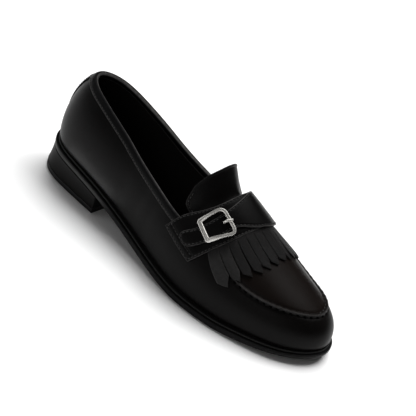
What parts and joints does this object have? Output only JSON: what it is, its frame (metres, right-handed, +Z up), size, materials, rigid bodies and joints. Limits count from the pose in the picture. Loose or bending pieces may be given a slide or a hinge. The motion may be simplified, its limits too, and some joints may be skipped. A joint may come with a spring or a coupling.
{
  "type": "kiltie loafer",
  "caption": "Low leather slip-on shoe with a raised apron seam, a band with a strap and buckle over the instep, and a pointed fringe in front of it.",
  "frame": {"origin": "middle of the shoe's length and width on the floor it stands on", "axes": "+X to the toe, +Y to the inner side of the foot, +Z up"},
  "size_m": [0.2993, 0.0995, 0.1001],
  "materials": {
    "upper_leather": "smooth black calf, half gloss",
    "tongue_leather": "smooth black calf, half gloss",
    "fringe_leather": "black calf with a fine grain",
    "saddle_leather": "smooth black calf, half gloss",
    "strap_leather": "smooth black calf, half gloss",
    "binding_leather": "smooth black calf",
    "stay_leather": "smooth black calf",
    "insole_leather": "matt black lining leather",
    "welt_leather": "black edge dressing",
    "outsole_leather": "black edge dressing",
    "heel_leather": "stacked leather, blackened",
    "top_lift_rubber": "matt",
    "buckle_steel": "polished nickel plate"
  },
  "bodies": {
    "root": {"upper": "upper_leather", "tongue": "tongue_leather", "fringe": "fringe_leather", "saddle": "saddle_leather", "strap": "strap_leather", "collar_binding": "binding_leather", "back_stay": "stay_leather", "insole": "insole_leather", "welt": "welt_leather", "outsole": "outsole_leather", "heel_stack": "heel_leather", "heel_top_lift": "top_lift_rubber", "buckle_frame": "buckle_steel", "buckle_prong": "buckle_steel"}
  },
  "joints": []
}
